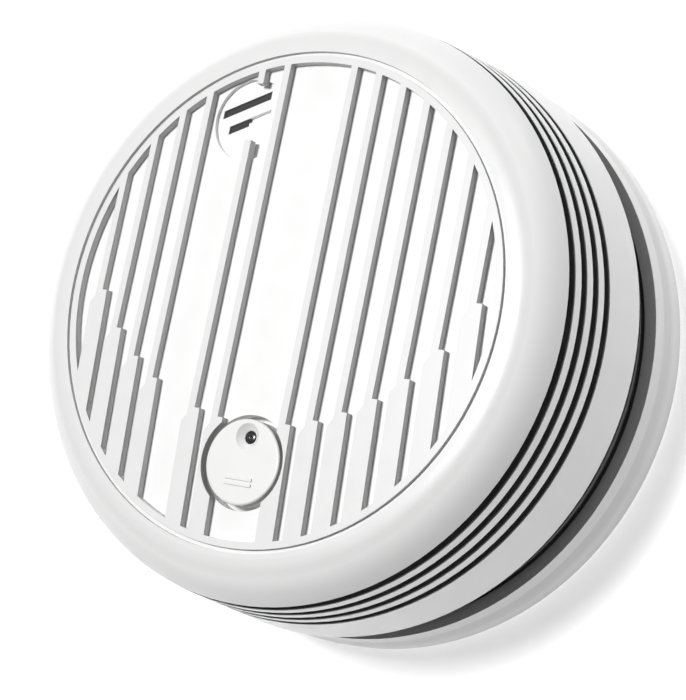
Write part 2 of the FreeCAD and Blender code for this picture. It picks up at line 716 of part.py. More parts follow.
def button_spring():
    rest = "(guide_level + flange_thick)"
    height = "(%s - %s - 2 * spring_wire)" % (FLANGE_LOW, rest)
    steps = COIL_STEPS * int(number("spring_turns"))
    radius = number("spring_radius")
    start = number("%s + spring_wire" % rest)
    middle = (number("button_x"), number("button_y"))
    climb = number(height) / steps
    coil = doc.addObject("Part::Polygon", "spring_path")
    coil.Nodes = [V(middle[0] + radius * math.cos(math.tau * step / COIL_STEPS),
                    middle[1] + radius * math.sin(math.tau * step / COIL_STEPS),
                    start + climb * step) for step in range(steps + 1)]
    wire = doc.addObject("Part::RegularPolygon", "spring_section")
    wire.Polygon = WIRE_SIDES
    bind(wire, Circumradius="spring_wire", Placement__Base__x="button_x + spring_radius",
         Placement__Base__y="button_y", Placement__Base__z="%s + spring_wire" % rest)
    wire.Placement.Rotation = FreeCAD.Rotation(V(1, 0, 0), 90)
    made = doc.addObject("Part::Sweep", "button_spring")
    made.Label = "button_spring"
    made.Sections = [wire]
    made.Spine = coil
    made.Solid = True
    made.Transition = "Right corner"


def tact_switch():
    case = block("switch_case", "button_x", "button_y", BOARD_TOP, "switch_side", "switch_side",
                 "switch_height")
    bore = drum("switch_bore", "button_x", "button_y", "%s + switch_floor" % BOARD_TOP,
                "stem_radius + slip_fit", "switch_height")
    shell = cut("switch_body", case, bore)
    legs = [block("switch_leg_%d_%d" % (x, y), "button_x + %d * switch_leg_x" % x,
                  "button_y + %d * switch_leg_y" % y, "board_level - leg_below",
                  "switch_leg_length", "switch_leg_width", "board_thick + leg_below + leg_into")
            for x in (-1, 1) for y in (-1, 1)]
    gather("MultiFuse", "tact_switch", [shell] + legs)


def switch_plunger():
    low = "(%s + switch_floor + button_travel + plunger_gap)" % BOARD_TOP
    plunger = drum("switch_plunger", "button_x", "button_y", low, "stem_radius",
                   "%s - %s" % (PLUNGER_TOP, low))
    plunger.Label = "switch_plunger"


def status_led():
    lamp_y = "button_y + lamp_offset"
    lens = drum("led_lens", "button_x", lamp_y, "lamp_level", "led_radius", "led_height")
    dome = solid("Sphere", "led_dome", "button_x", lamp_y, "lamp_level + led_height",
                 Radius="led_radius")
    foot = drum("led_base", "button_x", lamp_y, "lamp_level", "led_foot", "led_foot_height")
    legs = [block("led_leg_%d" % side, "button_x + %d * led_leg_place" % side, lamp_y,
                  "board_level - leg_below", "led_leg", "led_leg",
                  "lamp_level - board_level + leg_below + leg_into") for side in (-1, 1)]
    gather("MultiFuse", "status_led", [lens, dome, foot] + legs)


# ---- sounder ------------------------------------------------------------------------------


def sounder_housing():
    cup = drum("cup_outside", "sounder_x", "sounder_y", "cup_level", "cup_radius",
               "%s - cup_level" % FACE_UNDER)
    hollow = drum("cup_hollow", "sounder_x", "sounder_y", "cup_level + cup_shelf",
                  "cup_radius - cup_wall", "%s - cup_level - cup_shelf - cup_roof" % FACE_UNDER)
    seat = drum("cup_mouth", "sounder_x", "sounder_y", "cup_level - cut_past",
                "disc_radius + disc_gap", "cup_shelf + cut_past")
    port = block("cup_port", "sounder_x - port_offset", "sounder_y + port_offset",
                 "%s - port_depth" % FACE_UNDER, "port_length", "port_width",
                 "port_depth + cut_past")
    cut("sounder_housing", cup, gather("MultiFuse", "cup_inside", [hollow, seat, port]))


def piezo_disc():
    plate = drum("piezo_plate", "sounder_x", "sounder_y", "cup_level + plate_level", "disc_radius",
                 "plate_thick")
    crystal = drum("piezo_crystal", "sounder_x", "sounder_y",
                   "cup_level + plate_level - crystal_thick", "crystal_radius", "crystal_thick")
    gather("MultiFuse", "piezo_disc", [plate, crystal])


def sounder_contacts():
    pins = []
    plate = "(cup_level + plate_level)"
    crystal = "(cup_level + plate_level - crystal_thick)"
    for index, (x, top) in enumerate((("sounder_x + contact_inner", crystal),
                                      ("sounder_x + contact_outer", plate))):
        barrel = drum("contact_barrel_%d" % index, x, "sounder_y", BOARD_TOP, "barrel_radius",
                      "barrel_height")
        tip = drum("contact_tip_%d" % index, x, "sounder_y", BOARD_TOP, "tip_radius",
                   "%s - %s" % (top, BOARD_TOP))
        pins.append(gather("MultiFuse", "contact_%d" % index, [barrel, tip]))
    gather("Compound", "sounder_contacts", pins)


# ---- rear housing and its door ------------------------------------------------------------


def box_walls(body):
    """Battery bay: walls and roof, open to the back, with slots for the contact strips."""
    left = "bay_left - bay_wall"
    right = "bay_right + bay_wall"
    side = "bay_width / 2 + bay_wall"
    box_pad(body, "bay_outside", left, "-(%s)" % side, right, side, "door_level",
            "bay_roof + bay_wall - door_level")
    bay = new_sketch(body, "bay_outline", level="door_level")
    rectangle(bay, "bay_left", "-bay_width / 2", "bay_right", "bay_width / 2")
    pocket(body, "bay", bay, "bay_roof - door_level", up=True)
    for index, y in enumerate(("-stud_pitch / 2", "stud_pitch / 2")):
        box_pocket(body, "strip_slot_%d" % index, "bay_right - slot_depth",
                   "%s - slot_half" % y, "bay_right", "%s + slot_half" % y,
                   "bay_roof + bay_wall + cut_past", "bay_wall + 2 * cut_past")


def hinge_bores(body):
    """Bores for the door's pins, right through both side walls of the bay."""
    sketch = new_sketch(body, "hinge_bore_outline", "XZ_Plane")
    circle(sketch, "hinge_bore", HINGE_X, HINGE_Z)
    bore = pocket(body, "hinge_bores", sketch, "bay_width + 2 * bay_wall + 2 * cut_past")
    bore.SideType = "Symmetric"


def rear_housing():
    body = new_body("rear_housing")
    gap_foot = "(skirt_level - shell_gap)"
    turned(body, "housing_shell", [
        ("0", "shell_level"),
        ("shell_taper", "shell_level"),
        ("shell_radius", gap_foot),
        ("spigot_radius", gap_foot),
        ("spigot_radius", "%s + spigot_height" % gap_foot),
        ("spigot_radius - spigot_wall", "%s + spigot_height" % gap_foot),
        ("spigot_radius - spigot_wall", "%s - spigot_root" % gap_foot),
        ("shell_taper - wall_thickness", SHELL_FLOOR),
        ("0", SHELL_FLOOR),
    ])
    turned(body, "collar", [
        ("collar_radius - collar_thick", "collar_level"),
        ("collar_radius", "collar_level"),
        ("collar_radius", "shell_level + join_lap"),
        ("collar_radius - collar_thick", "shell_level + join_lap"),
    ])
    lug = sector(body, "lug", "collar_radius - lug_root", "collar_radius + lug_reach",
                 "0", "lug_angle / 2", "collar_level", "lug_thick")
    polar(body, "lugs", [lug], "3")
    box_walls(body)
    hinge_bores(body)
    for x in (-1, 1):
        for y in (-1, 1):
            place = ("%d * pillar_x" % x, "%d * pillar_y" % y)
            name = "pillar_%s_%s" % ("left" if x < 0 else "right", "low" if y < 0 else "high")
            disc_pad(body, name, "pillar_radius", "%s - join_lap" % SHELL_FLOOR,
                     "board_level - %s + join_lap" % SHELL_FLOOR, *place)
            disc_pocket(body, name + "_pilot", "pilot_radius", "board_level", "pillar_pilot",
                        *place)
    screw_way = disc_pocket(body, "screw_way", "pilot_radius + screw_play", SHELL_FLOOR,
                            "wall_thickness + cut_past", "0", "-boss_ring")
    polar(body, "screw_ways", [screw_way], "3")


def sector(body, name, inner, outer, middle, half, low, height):
    """Block between two radii, centred on an angle in degrees, with four facets each way."""
    facets = 4
    facet = "(2 * (%s) / %d)" % (half, facets)

    def corner(radius, index):
        angle = "(%s - (%s) + %d * %s)" % (middle, half, index, facet)
        reach = "(%s) / cos(%s / 2)" % (radius, facet)
        return ("%s * cos(%s)" % (reach, angle), "%s * sin(%s)" % (reach, angle))

    sketch = new_sketch(body, name + "_outline", level=low)
    outside = [corner(outer, index) for index in range(facets + 1)]
    inside = [corner(inner, index) for index in range(facets, -1, -1)]
    outline(sketch, outside + inside)
    return pad(body, name, sketch, height)


def battery_door():
    body = new_body("battery_door")
    half = "(bay_width / 2 - door_gap)"
    end = "(bay_right - door_gap)"
    box_pad(body, "door_plate", HINGE_X, "-" + half, end, half, "door_level", "door_thick")
    knuckle = new_sketch(body, "door_knuckle_outline", "XZ_Plane")
    circle(knuckle, "door_thick / 2", HINGE_X, HINGE_Z)
    roll = pad(body, "door_knuckle", knuckle, "2 * " + half)
    roll.SideType = "Symmetric"
    pins = new_sketch(body, "hinge_pin_outline", "XZ_Plane")
    circle(pins, "hinge_pin", HINGE_X, HINGE_Z)
    pin = pad(body, "hinge_pins", pins, "bay_width + 2 * pin_reach")
    pin.SideType = "Symmetric"
    box_pocket(body, "thumb_notch", "%s - notch_depth" % end, "-notch_half",
               "%s + cut_past" % end, "notch_half", "door_level + notch_rise",
               "notch_rise + cut_past")
    box_pad(body, "snap_tongue", "%s - tongue_thick" % end, "-tongue_half", end, "tongue_half",
            "door_level + door_thick - join_lap", "tongue_height")


def door_pad():
    pad_block = block("door_pad", "cell_x", "0", "door_level + door_thick", "foam_length",
                      "foam_width", "foam_thick")
    pad_block.Label = "door_pad"


# ---- battery ------------------------------------------------------------------------------


def battery():
    body = new_body("battery")
    half = "cell_width / 2"
    case = box_pad(body, "cell_case", "cell_x - cell_length / 2", "-" + half,
                   "cell_x + cell_length / 2", half, "cell_level", "cell_height")
    doc.recompute()
    along = edges_where(case.Shape, lambda e: abs(e.Length - number("cell_length")) < 0.01)
    soften(body, "cell_corners", case, along, "cell_round")
    for index, (sign, radius) in enumerate(((-1, "stud_small"), (1, "stud_large"))):
        stud = new_sketch(body, "stud_outline_%d" % index, "YZ_Plane",
                          "cell_x + cell_length / 2")
        circle(stud, radius, "%d * stud_pitch / 2" % sign, "cell_level + cell_height / 2")
        pad(body, "stud_%d" % index, stud, "stud_length")


def battery_contacts():
    strips = []
    for index, sign in enumerate((-1, 1)):
        y = "%d * stud_pitch / 2" % sign
        strips.append(block("strip_%d" % index, "%s + strip_thick / 2" % STUD_FACE, y,
                            "cell_level + strip_foot", "strip_thick", "strip_width",
                            "%s + strip_rise - cell_level - strip_foot" % BOARD_TOP))
    gather("Compound", "battery_contacts", strips)


# ---- board and what stands on it ----------------------------------------------------------


def circuit_board():
    body = new_body("circuit_board")
    disc_pad(body, "board", "board_radius", "board_level", "board_thick")
    above = "%s + cut_past" % BOARD_TOP
    through = "board_thick + 2 * cut_past"
    for x in (-1, 1):
        for y in (-1, 1):
            disc_pocket(body, "board_hole_%d_%d" % (x + 1, y + 1), "pilot_radius + screw_play",
                        above, through,
                        "%d * pillar_x" % x, "%d * pillar_y" % y)
    for index, sign in enumerate((-1, 1)):
        y = "%d * stud_pitch / 2" % sign
        box_pocket(body, "strip_way_%d" % index, "%s - strip_gap" % STUD_FACE,
                   "%s - strip_width / 2 - strip_gap" % y,
                   "%s + strip_thick + strip_gap" % STUD_FACE,
                   "%s + strip_width / 2 + strip_gap" % y, above, through)
    for name, places in (
            ("led_ways", [("button_x + %d * led_leg_place" % x, "button_y + lamp_offset",
                           "led_way") for x in (-1, 1)]),
            ("switch_ways", [("button_x + %d * switch_leg_x" % x,
                              "button_y + %d * switch_leg_y" % y, "switch_way")
                             for x in (-1, 1) for y in (-1, 1)]),
            ("sensor_ways", [("sensor_x", "sensor_y + %d * sensor_leg_place" % y, "sensor_way")
                             for y in (-1, 1)])):
        ways = new_sketch(body, name + "_outline", level=above)
        for x, y, radius in places:
            circle(ways, radius, x, y)
        pocket(body, name, ways, through)


def thermistor():
    """Bead on two legs that hold it up in the air from the vents."""
    bead = solid("Sphere", "sensor_bead", "sensor_x", "sensor_y", "sensor_level",
                 Radius="bead_radius")
    legs = [drum("sensor_leg_%d" % side, "sensor_x", "sensor_y + %d * sensor_leg_place" % side,
                 "board_level - sensor_leg_below", "sensor_leg",
                 "sensor_level - board_level + sensor_leg_below")
            for side in (-1, 1)]
    gather("MultiFuse", "thermistor", [bead] + legs)


def control_chip():
    case = block("chip_case", "chip_x", "chip_y", "%s + chip_lift" % BOARD_TOP, "chip_length",
                 "chip_width", "chip_height")
    legs = [block("chip_leg_%d_%d" % (side, index), "chip_x + (%d - 1.5) * chip_pitch" % index,
                  "chip_y + %d * chip_leg_place" % side, BOARD_TOP, "chip_leg_width",
                  "chip_leg_length", "chip_leg_height")
            for side in (-1, 1) for index in range(4)]
    gather("MultiFuse", "control_chip", [case] + legs)


def capacitors():
    """Cans at their x and y, each with its radius and height."""
    cans = []
    for index, (x, y, radius, height) in enumerate((("14", "20", "3.1", "9"),
                                                    ("21.5", "17", "2.5", "7"),
                                                    ("-24", "-14", "2.5", "7"))):
        can = drum("can_%d" % index, x, y, BOARD_TOP, radius, height)
        lip = solid("Torus", "can_lip_%d" % index, x, y, "%s + can_lip" % BOARD_TOP,
                    Radius1=radius, Radius2="can_lip_round")
        cans.append(cut("capacitor_%d" % index, can, lip))
    gather("Compound", "capacitors", cans)


def resistors():
    parts = []
    for index in range(int(number("resistor_count"))):
        x = "resistor_x + %d * resistor_pitch" % index
        turn = FreeCAD.Rotation(V(1, 0, 0), -90)
        sleeve = drum("sleeve_%d" % index, x, "resistor_y", "%s + resistor_lift" % BOARD_TOP,
                      "sleeve_radius", "sleeve_length")
        lead = drum("lead_%d" % index, x, "lead_y", "%s + resistor_lift" % BOARD_TOP,
                    "lead_radius", "lead_length")
        ends = [drum("foot_%d_%d" % (index, end), x, "lead_y + %d * lead_length" % end,
                     BOARD_TOP, "lead_radius", "resistor_lift + lead_radius") for end in (0, 1)]
        for piece in (sleeve, lead):
            piece.Placement.Rotation = turn
        parts.append(gather("MultiFuse", "resistor_%d" % index, [sleeve, lead] + ends))
    gather("Compound", "resistors", parts)


def step_up_coil():
    body = new_body("step_up_coil")
    for name, radius, low, height in (
            ("coil_foot", "coil_flange", BOARD_TOP, "coil_flange_thick"),
            ("coil_turns", "coil_core", "%s + coil_flange_thick" % BOARD_TOP, "coil_height"),
            ("coil_head", "coil_flange",
             "%s + coil_flange_thick + coil_height - join_lap" % BOARD_TOP,
             "coil_flange_thick")):
        disc_pad(body, name, radius, low, height, "coil_x", "coil_y")


# ---- fasteners ----------------------------------------------------------------------------


def screw(name, x, y, seat, length, up):
    """Self-tapping screw: crossed pan head on its seat and a plain shank."""
    head_low = seat if up else "%s - screw_head" % seat
    head = drum(name + "_head", x, y, head_low, "screw_head_radius", "screw_head")
    shank_low = "%s - %s" % (seat, length) if up else seat
    shank = drum(name + "_shank", x, y, shank_low, "screw_shank", length)
    face = "%s + screw_head - cross_depth" % head_low if up else "%s - cross_past" % head_low
    depth = "cross_depth + cross_past"
    bars = [block("%s_cross_%d" % (name, index), x, y, face, *size)
            for index, size in enumerate((("cross_length", "cross_width", depth),
                                        ("cross_width", "cross_length", depth)))]
    whole = gather("MultiFuse", name + "_blank", [head, shank])
    return cut(name, whole, gather("MultiFuse", name + "_cross", bars))


def screws():
    board = [screw("board_screw_%d_%d" % (x + 1, y + 1), "%d * pillar_x" % x,
                   "%d * pillar_y" % y, BOARD_TOP, "board_screw_length", True)
             for x in (-1, 1) for y in (-1, 1)]
    gather("Compound", "board_screws", board)
    cover = []
    for angle in (270, 30, 150):
        x = "boss_ring * cos(%d)" % angle
        y = "boss_ring * sin(%d)" % angle
        cover.append(screw("cover_screw_%d" % angle, x, y, "shell_level",
                           "cover_screw_length", False))
    gather("Compound", "cover_screws", cover)


# ---- insect screen and label --------------------------------------------------------------


def insect_screen():
    body = new_body("insect_screen")
    turned(body, "screen_band", [
        ("screen_radius - screen_thick", "screen_low"),
        ("screen_radius", "screen_low"),
        ("screen_radius", "screen_high"),
        ("screen_radius - screen_thick", "screen_high"),
    ])


def blank_rating_label():
    plate = block("blank_rating_label", "0",
                  "(bay_width / 2 + bay_wall + collar_radius) / 2 - label_shift",
                  "shell_level - label_thick", "label_length", "label_width", "label_thick")
    plate.Label = "blank_rating_label"


# ---- mounting base ------------------------------------------------------------------------


def mounting_base():
    body = new_body("mounting_base")
    bulge_high = "(base_height / 2)"
    skirt = turned(body, "base_shell", [
        ("base_opening", "0"),
        ("base_radius - base_edge", "0"),
        ("base_radius", "bulge_low"),
        ("base_radius", bulge_high),
        ("base_waist", "waist_level"),
        ("base_lip", "base_height"),
        ("base_lip - wall_thickness", "base_height"),
        ("base_lip - wall_thickness", "web_thick"),
        ("base_opening", "web_thick"),
    ])
    round_ring(body, "base_shoulder", skirt, "base_radius", bulge_high, "shoulder_round")
    foot = "(web_thick - join_lap)"
    turned(body, "bayonet_ring", [
        ("ring_radius", foot),
        ("ring_radius + ring_thick", foot),
        ("ring_radius + ring_thick", "ring_height"),
        ("ring_radius", "ring_height"),
    ])
    keeper_low = "(collar_level + lug_thick + keeper_gap)"
    grip = "ring_radius + ring_bite"
    rise = "ring_height - web_thick"
    keeper = sector(body, "keeper", "collar_radius + keeper_gap", grip,
                    "0", "keeper_angle / 2", keeper_low, "ring_height - %s" % keeper_low)
    stop = sector(body, "stop", "collar_radius + keeper_gap", grip,
                  "-lug_angle / 2 - stop_set", "stop_half", foot, rise)
    far_stop = sector(body, "far_stop", "collar_radius + keeper_gap", grip,
                      "lug_angle / 2 + twist_angle + stop_set", "stop_half", foot, rise)
    polar(body, "keepers", [keeper, stop, far_stop], "3")
    for index, side in enumerate((-1, 1)):
        slot = new_sketch(body, "slot_outline_%d" % index, level="web_thick")
        stadium(slot, "%d * screw_place" % side, "0", "slot_length", "screw_hole")
        pocket(body, "screw_slot_%d" % index, slot, "web_thick + cut_past")
        disc_pocket(body, "screw_hole_%d" % index, "screw_hole", "web_thick",
                    "web_thick + cut_past", "0", "%d * screw_place" % side)


def stadium(sketch, x, y, length, half):
    """Round-ended slot along X."""
    left = "(%s - (%s) / 2 + %s)" % (x, length, half)
    right = "(%s + (%s) / 2 - %s)" % (x, length, half)
    low = "%s - %s" % (y, half)
    high = "%s + %s" % (y, half)
    spots = [(left, low), (right, low), (right, high), (left, high)]
    points = [V(number(a), number(b), 0) for a, b in spots]
    middle = number(y)
    reach = number(half)
    first = sketch.addGeometry(Part.LineSegment(points[0], points[1]), False)
    arc = Part.ArcOfCircle(Part.Circle(V(number(right), middle, 0), V(0, 0, 1), reach),
                           -math.pi / 2, math.pi / 2)
    second = sketch.addGeometry(arc, False)
    third = sketch.addGeometry(Part.LineSegment(points[2], points[3]), False)
    arc = Part.ArcOfCircle(Part.Circle(V(number(left), middle, 0), V(0, 0, 1), reach),
                           math.pi / 2, 3 * math.pi / 2)
    fourth = sketch.addGeometry(arc, False)
    for a, end, b, start in ((first, 2, second, 1), (second, 2, third, 1),
                             (third, 2, fourth, 1), (fourth, 2, first, 1)):
        sketch.addConstraint(Sketcher.Constraint("Coincident", a, end, b, start))
    hold(sketch, first, 1, *spots[0])
    hold(sketch, first, 2, *spots[1])
    hold(sketch, third, 1, *spots[2])
    hold(sketch, third, 2, *spots[3])


# ---- whole detector -----------------------------------------------------------------------

BUILDERS = [
    mounting_base, rear_housing, front_cover, test_button, button_retainer, button_spring,
    tact_switch, switch_plunger, status_led, sounder_housing, piezo_disc, sounder_contacts,
    battery_door, door_pad, battery, battery_contacts, circuit_board, thermistor, control_chip,
    capacitors, resistors, step_up_coil, screws, insect_screen, blank_rating_label,
]
NODES = [
    "mounting_base", "rear_housing", "front_cover", "test_button", "button_retainer",
    "button_spring", "tact_switch", "switch_plunger", "status_led", "sounder_housing",
    "piezo_disc", "sounder_contacts", "battery_door", "door_pad", "battery",
    "battery_contacts", "circuit_board", "thermistor", "control_chip", "capacitors",
    "resistors", "step_up_coil", "board_screws", "cover_screws", "insect_screen",
    "blank_rating_label",
]

for build in BUILDERS:
    build()
doc.recompute()

for item in doc.Objects:
    if "Invalid" in item.State or "Error" in item.State:
        raise RuntimeError("%s failed: %s" % (item.Name, item.State))

for node in NODES:
    shape = doc.getObjectsByLabel(node)[0].Shape
    if shape.isNull() or not shape.isValid() or not shape.Solids:
        raise RuntimeError("%s has no valid solid" % node)
    shape.exportStep("parts/%s.step" % node)
    print("%-20s %2d solid(s) %9.1f mm3" % (node, len(shape.Solids), shape.Volume))
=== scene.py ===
import json
import math

import bpy
from mathutils import Matrix, Vector


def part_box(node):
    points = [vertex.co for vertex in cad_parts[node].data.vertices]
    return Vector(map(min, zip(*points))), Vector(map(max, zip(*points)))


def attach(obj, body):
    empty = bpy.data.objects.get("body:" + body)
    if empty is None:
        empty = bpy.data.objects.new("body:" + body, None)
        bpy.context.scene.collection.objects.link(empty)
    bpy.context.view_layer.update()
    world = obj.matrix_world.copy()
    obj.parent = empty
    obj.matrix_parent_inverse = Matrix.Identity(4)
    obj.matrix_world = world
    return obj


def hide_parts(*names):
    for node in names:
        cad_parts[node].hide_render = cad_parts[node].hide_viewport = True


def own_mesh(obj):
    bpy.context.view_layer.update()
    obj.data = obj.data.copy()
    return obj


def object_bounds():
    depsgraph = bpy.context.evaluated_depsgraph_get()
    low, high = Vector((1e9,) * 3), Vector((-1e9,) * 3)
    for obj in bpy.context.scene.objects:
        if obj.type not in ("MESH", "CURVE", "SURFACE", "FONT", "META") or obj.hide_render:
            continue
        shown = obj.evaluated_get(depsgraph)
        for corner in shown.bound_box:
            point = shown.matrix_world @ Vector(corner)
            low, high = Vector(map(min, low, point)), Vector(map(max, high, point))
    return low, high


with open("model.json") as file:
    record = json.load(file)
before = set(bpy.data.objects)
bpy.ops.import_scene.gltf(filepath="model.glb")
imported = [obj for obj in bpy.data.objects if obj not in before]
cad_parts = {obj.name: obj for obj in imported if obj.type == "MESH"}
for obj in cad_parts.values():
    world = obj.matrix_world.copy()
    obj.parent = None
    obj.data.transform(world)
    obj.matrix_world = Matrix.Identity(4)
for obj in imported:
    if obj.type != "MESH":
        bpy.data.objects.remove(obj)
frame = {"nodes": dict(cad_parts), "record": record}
cad_low, cad_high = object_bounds()
nodes = frame["nodes"]
scene = bpy.context.scene


# ---- materials ----------------------------------------------------------------------------


class Shader:
    """A material with one Principled shader and short ways to add nodes to it."""

    def __init__(self, name):
        self.material = bpy.data.materials.new(name)
        self.material.use_nodes = True
        self.tree = self.material.node_tree
        self.principled = self.tree.nodes["Principled BSDF"]
        self.place = self.node("ShaderNodeTexCoord").outputs["Object"]

    def node(self, kind, **values):
        made = self.tree.nodes.new(kind)
        for name, value in values.items():
            setattr(made, name, value)
        return made

    def link(self, source, target):
        self.tree.links.new(source, target)

    def noise(self, scale, detail=3.0, stretch=(1, 1, 1)):
        mapping = self.node("ShaderNodeMapping")
        mapping.inputs["Scale"].default_value = stretch
        self.link(self.place, mapping.inputs["Vector"])
        made = self.node("ShaderNodeTexNoise")
        made.inputs["Scale"].default_value = scale
        made.inputs["Detail"].default_value = detail
        self.link(mapping.outputs["Vector"], made.inputs["Vector"])
        return made.outputs["Fac"]

    def ramp(self, source, low, high, start=0.35, end=0.65):
        made = self.node("ShaderNodeMapRange")
        for name, value in (("From Min", start), ("From Max", end), ("To Min", low), ("To Max", high)):
            made.inputs[name].default_value = value
        self.link(source, made.inputs["Value"])
        return made.outputs["Result"]

    def blend(self, source, first, second):
        made = self.node("ShaderNodeMix", data_type="RGBA")
        made.inputs["A"].default_value = (*first, 1)
        made.inputs["B"].default_value = (*second, 1)
        self.link(source, made.inputs["Factor"])
        return made.outputs["Result"]

    def bump(self, source, depth, strength=1.0, under=None):
        made = self.node("ShaderNodeBump")
        made.inputs["Strength"].default_value = strength
        made.inputs["Distance"].default_value = depth
        self.link(source, made.inputs["Height"])
        if under is not None:
            self.link(under, made.inputs["Normal"])
        return made.outputs["Normal"]

    def finish(self, colour=None, rough=None, normal=None):
        for name, source in (("Base Color", colour), ("Roughness", rough), ("Normal", normal)):
            if source is not None:
                self.link(source, self.principled.inputs[name])
        return self.material

    def set(self, **values):
        for name, value in values.items():
            self.principled.inputs[name.replace("_", " ")].default_value = value
        return self


def tint(colour, factor):
    return tuple(min(1.0, part * factor) for part in colour)


def upright_share(shader):
    """1 on a surface that stands upright and 0 on one that lies flat."""
    facing = shader.node("ShaderNodeSeparateXYZ")
    shader.link(shader.node("ShaderNodeNewGeometry").outputs["True Normal"],
                facing.inputs["Vector"])
    return shader.ramp(facing.outputs["Z"], 1.0, 0.0, 0.3, 0.6)


def toned(shader, factor, tone, colour):
    """The tone so far, turned into a plain colour where the factor is 1."""
    made = shader.node("ShaderNodeMix", data_type="RGBA")
    made.inputs["B"].default_value = (*colour, 1)
    shader.link(factor, made.inputs["Factor"])
    shader.link(tone, made.inputs["A"])
    return made.outputs["Result"]


def rib_painted_shade(shader, tone, colour, painted_top_shade):
    """Painted shade: tops of the ribs a little darker than the field, and the walls beside them darker
    still.
    """
    split = shader.node("ShaderNodeSeparateXYZ")
    shader.link(shader.place, split.inputs["Vector"])
    top = shader.ramp(split.outputs["Z"], 0.0, 1.0, RIB_FOOT, RIB_TOP)
    tone = toned(shader, top, tone, tint(colour, painted_top_shade))
    upright = upright_share(shader)
    within = shader.ramp(split.outputs["Z"], 0.0, 1.0, WALL_FOOT, WALL_FOOT + WALL_FADE)
    wall_shade_mask = shader.node("ShaderNodeMath", operation="MULTIPLY")
    shader.link(upright, wall_shade_mask.inputs[0])
    shader.link(within, wall_shade_mask.inputs[1])
    return toned(shader, wall_shade_mask.outputs["Value"], tone, tint(colour, PAINTED_WALL_SHADE))


def moulded(name, colour, rough, painted_top_shade=1.0):
    """Moulded plastic: fine spark-eroded grain, slight flow shading, softened edges. A rib-top factor
    below 1 adds painted shade on rib tops and rib walls.
    """
    edge_radius, grain_depth, flow_depth, variation = 1.2e-4, 1.6e-5, 4e-5, 0.015
    shader = Shader(name)
    shader.set(IOR=1.5)
    edges = shader.node("ShaderNodeBevel", samples=6)
    edges.inputs["Radius"].default_value = edge_radius
    cloud = shader.noise(45.0, 2.0)
    fine = shader.noise(3200.0, 4.0)
    swirl = shader.noise(260.0, 2.0)
    normal = shader.bump(fine, grain_depth, 0.5, edges.outputs["Normal"])
    normal = shader.bump(swirl, flow_depth, 0.15, normal)
    tone = shader.blend(cloud, tint(colour, 1 - variation), tint(colour, 1 + variation))
    # painted shade on the rib tops and rib walls
    if painted_top_shade != 1.0:
        tone = rib_painted_shade(shader, tone, colour, painted_top_shade)
    return shader.finish(tone, shader.ramp(swirl, rough - 0.04, rough + 0.05), normal)


def metal(name, colour, rough, stretch=(1, 1, 14), scratch=1100.0):
    """Plated or drawn metal with fine lines along one direction."""
    shader = Shader(name)
    shader.set(Metallic=1.0)
    lines = shader.noise(scratch, 3.0, stretch)
    cloud = shader.noise(180.0, 3.0)
    tone = shader.blend(cloud, tint(colour, 0.9), tint(colour, 1.06))
    return shader.finish(tone, shader.ramp(lines, rough - 0.07, rough + 0.1),
                         shader.bump(lines, 6e-6, 0.4))


def woven(name, colour):
    """Fine woven screen: two crossed sets of threads."""
    shader = Shader(name)
    shader.set(Roughness=0.6)
    waves = []
    for axis in ("X", "Z"):
        wave = shader.node("ShaderNodeTexWave", wave_type="BANDS", bands_direction=axis)
        wave.inputs["Scale"].default_value = 330.0
        wave.inputs["Distortion"].default_value = 0.4
        shader.link(shader.place, wave.inputs["Vector"])
        waves.append(wave.outputs["Fac"])
    most = shader.node("ShaderNodeMath", operation="MAXIMUM")
    for index, wave in enumerate(waves):
        shader.link(wave, most.inputs[index])
    tone = shader.blend(most.outputs["Value"], tint(colour, 0.35), tint(colour, 1.6))
    return shader.finish(tone, None, shader.bump(most.outputs["Value"], 1.2e-4, 0.8))


def board_finish(name):
    """Solder mask with faint traces under it and a slight ripple."""
    shader = Shader(name)
    shader.set(IOR=1.5, Roughness=0.35)
    cells = shader.node("ShaderNodeTexVoronoi", feature="DISTANCE_TO_EDGE", distance="CHEBYCHEV")
    cells.inputs["Scale"].default_value = 230.0
    shader.link(shader.place, cells.inputs["Vector"])
    line = shader.ramp(cells.outputs["Distance"], 1.0, 0.0, 0.05, 0.09)
    tone = shader.blend(line, (0.016, 0.135, 0.055), (0.03, 0.23, 0.1))
    return shader.finish(tone, None, shader.bump(line, 3e-5, 0.6))


def jacket(name):
    """Printed metal jacket of the cell: dark body with a plain band, lightly scuffed."""
    shader = Shader(name)
    shader.set(IOR=1.5)
    split = shader.node("ShaderNodeSeparateXYZ")
    shader.link(shader.place, split.inputs["Vector"])
    band = shader.ramp(split.outputs["X"], 0.0, 1.0, 0.010, 0.0102)
    tone = shader.blend(band, (0.03, 0.035, 0.045), (0.5, 0.36, 0.12))
    scuff = shader.noise(900.0, 5.0, (1, 1, 0.2))
    return shader.finish(tone, shader.ramp(scuff, 0.22, 0.42), shader.bump(scuff, 1e-5, 0.5))


def paper(name):
    shader = Shader(name)
    fibres = shader.noise(2400.0, 6.0, (1, 0.25, 1))
    tone = shader.blend(shader.noise(60.0), (0.86, 0.86, 0.84), (0.93, 0.93, 0.92))
    return shader.finish(tone, shader.ramp(fibres, 0.62, 0.8), shader.bump(fibres, 1.5e-5, 0.5))


def foam(name):
    shader = Shader(name)
    cells = shader.node("ShaderNodeTexVoronoi")
    cells.inputs["Scale"].default_value = 1600.0
    shader.link(shader.place, cells.inputs["Vector"])
    tone = shader.blend(cells.outputs["Distance"], (0.02, 0.02, 0.02), (0.09, 0.09, 0.09))
    shader.set(Roughness=0.92)
    return shader.finish(tone, None, shader.bump(cells.outputs["Distance"], 1.2e-4, 0.8))


